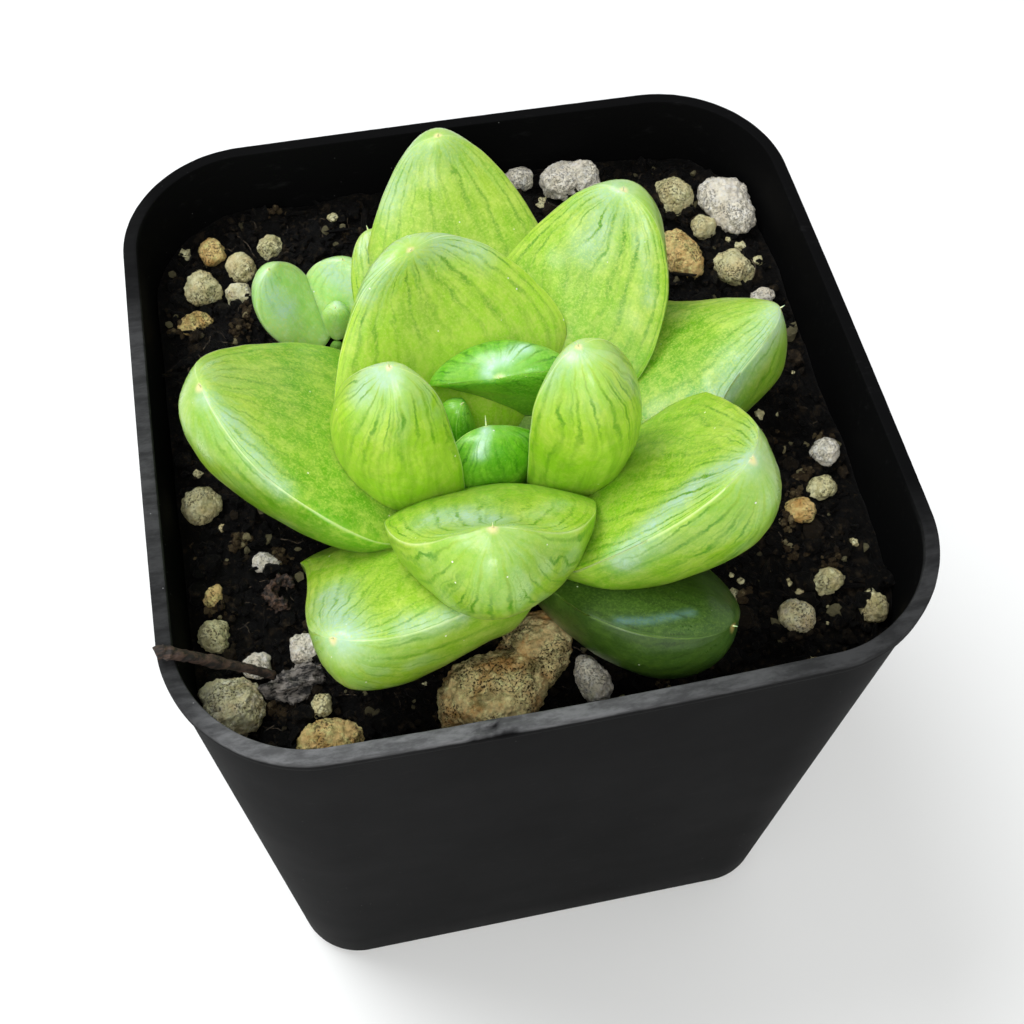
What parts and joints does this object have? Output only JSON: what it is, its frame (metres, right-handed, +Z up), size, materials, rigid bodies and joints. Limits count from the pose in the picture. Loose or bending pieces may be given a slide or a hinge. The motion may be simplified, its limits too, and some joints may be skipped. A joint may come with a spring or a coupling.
{
  "type": "potted haworthia",
  "caption": "Small rosette succulent with thick boat-shaped leaves and one offset, in a square plastic nursery pot filled with dark mix and pumice stones.",
  "frame": {"origin": "middle of the pot's underside, on the surface that the pot stands on", "axes": "+Z up through the pot, -Y towards the pot's front wall, +X to the right seen from the front"},
  "size_m": [0.0704, 0.0709, 0.0961],
  "materials": {
    "pot": "matte injection-moulded black plastic, lighter and scuffed on the rim",
    "soil": "dry near-black peat mix, crumbly and fibrous",
    "stem": "pale fleshy stem and roots, below the leaves",
    "leaf": "glossy translucent yellow-green, with darker veins and pale windows at the tip",
    "leaf_heart": "glossy translucent green of the young leaves",
    "leaf_shaded": "dark glossy green of the shaded leaf",
    "twig": "dark brown dry twig",
    "bark": "grey-brown weathered bark",
    "dry_scrap": "papery dry brown leaf scrap",
    "pumice_ochre": "pitted ochre pumice",
    "pumice_olive": "pitted grey-olive pumice",
    "pumice_cream": "pitted cream pumice"
  },
  "bodies": {
    "root": {"pot": "pot", "soil": "soil", "stem_and_roots": "stem", "leaf_right_inner": "leaf", "leaf_left_inner": "leaf", "leaf_front_middle": "leaf", "leaf_heart_front": "leaf_heart", "leaf_heart_back": "leaf_heart", "leaf_heart_bud": "leaf_heart", "leaf_right_front": "leaf", "leaf_left_big": "leaf", "leaf_back_middle": "leaf", "leaf_back_right": "leaf", "leaf_right_low": "leaf", "leaf_left_front": "leaf", "leaf_back": "leaf", "leaf_back_left": "leaf", "leaf_front_low": "leaf_shaded", "offset_leaf_heart": "leaf_heart", "offset_leaf_left": "leaf", "offset_leaf_right": "leaf", "twig": "twig", "bark_piece": "bark", "dry_scrap": "dry_scrap", "stone_front_pumice": "pumice_ochre", "stone_front_lobe": "pumice_olive", "stone_front_crumb": "pumice_cream", "stone_corner_pumice": "pumice_cream", "stone_front_ochre": "pumice_ochre", "stone_front_small": "pumice_olive", "stone_under_twig": "pumice_cream", "stone_by_leaf": "pumice_cream", "stone_left_a": "pumice_olive", "stone_left_b": "pumice_ochre", "stone_left_c": "pumice_olive", "stone_left_d": "pumice_cream", "stone_back_left_a": "pumice_ochre", "stone_back_left_b": "pumice_olive", "stone_back_left_c": "pumice_olive", "stone_back_left_d": "pumice_olive", "stone_back_left_e": "pumice_cream", "stone_back_left_f": "pumice_ochre", "stone_back_a": "pumice_cream", "stone_back_b": "pumice_cream", "stone_back_right_a": "pumice_olive", "stone_back_right_b": "pumice_cream", "stone_back_right_c": "pumice_olive", "stone_back_right_d": "pumice_ochre", "stone_back_right_e": "pumice_olive", "stone_back_right_f": "pumice_cream", "stone_right_a": "pumice_cream", "stone_right_b": "pumice_olive", "stone_right_c": "pumice_ochre", "stone_right_d": "pumice_olive", "stone_right_e": "pumice_cream", "stone_right_f": "pumice_olive"}
  },
  "joints": []
}
